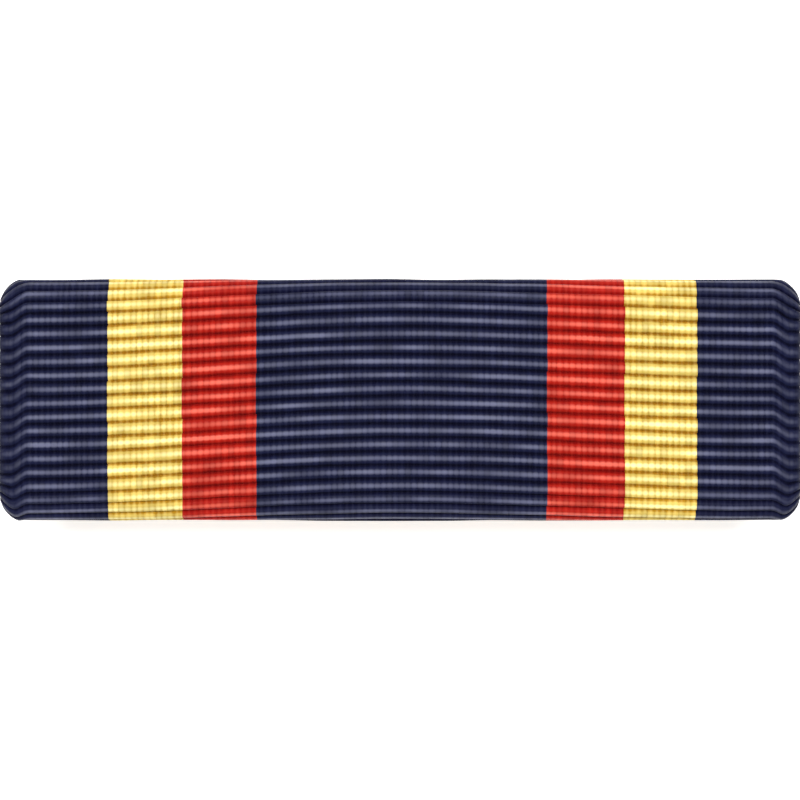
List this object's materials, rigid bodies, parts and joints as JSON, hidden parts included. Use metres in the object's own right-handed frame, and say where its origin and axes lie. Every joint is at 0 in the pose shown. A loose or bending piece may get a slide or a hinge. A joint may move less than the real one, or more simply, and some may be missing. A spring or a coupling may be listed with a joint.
{
  "type": "ribbon bar",
  "caption": "Ribbon bar: striped, cross-ribbed woven ribbon wrapped round a flat metal bar, worn above a coat pocket on two posts held by round clutches.",
  "frame": {"origin": "on the floor under the middle of the bar, where it lies on its two clutches with the ribbon's face up", "axes": "+X along the bar to the right as the face is read, +Y up the face as it is worn, +Z out of the face"},
  "size_m": [0.035, 0.0106, 0.0088],
  "materials": {
    "woven_silk": "satin",
    "bar_brass": "satin",
    "clutch_brass": "polished"
  },
  "bodies": {
    "root": {"ribbon": "woven_silk", "bar": "bar_brass", "clutch_left": "clutch_brass", "clutch_right": "clutch_brass"}
  },
  "joints": []
}
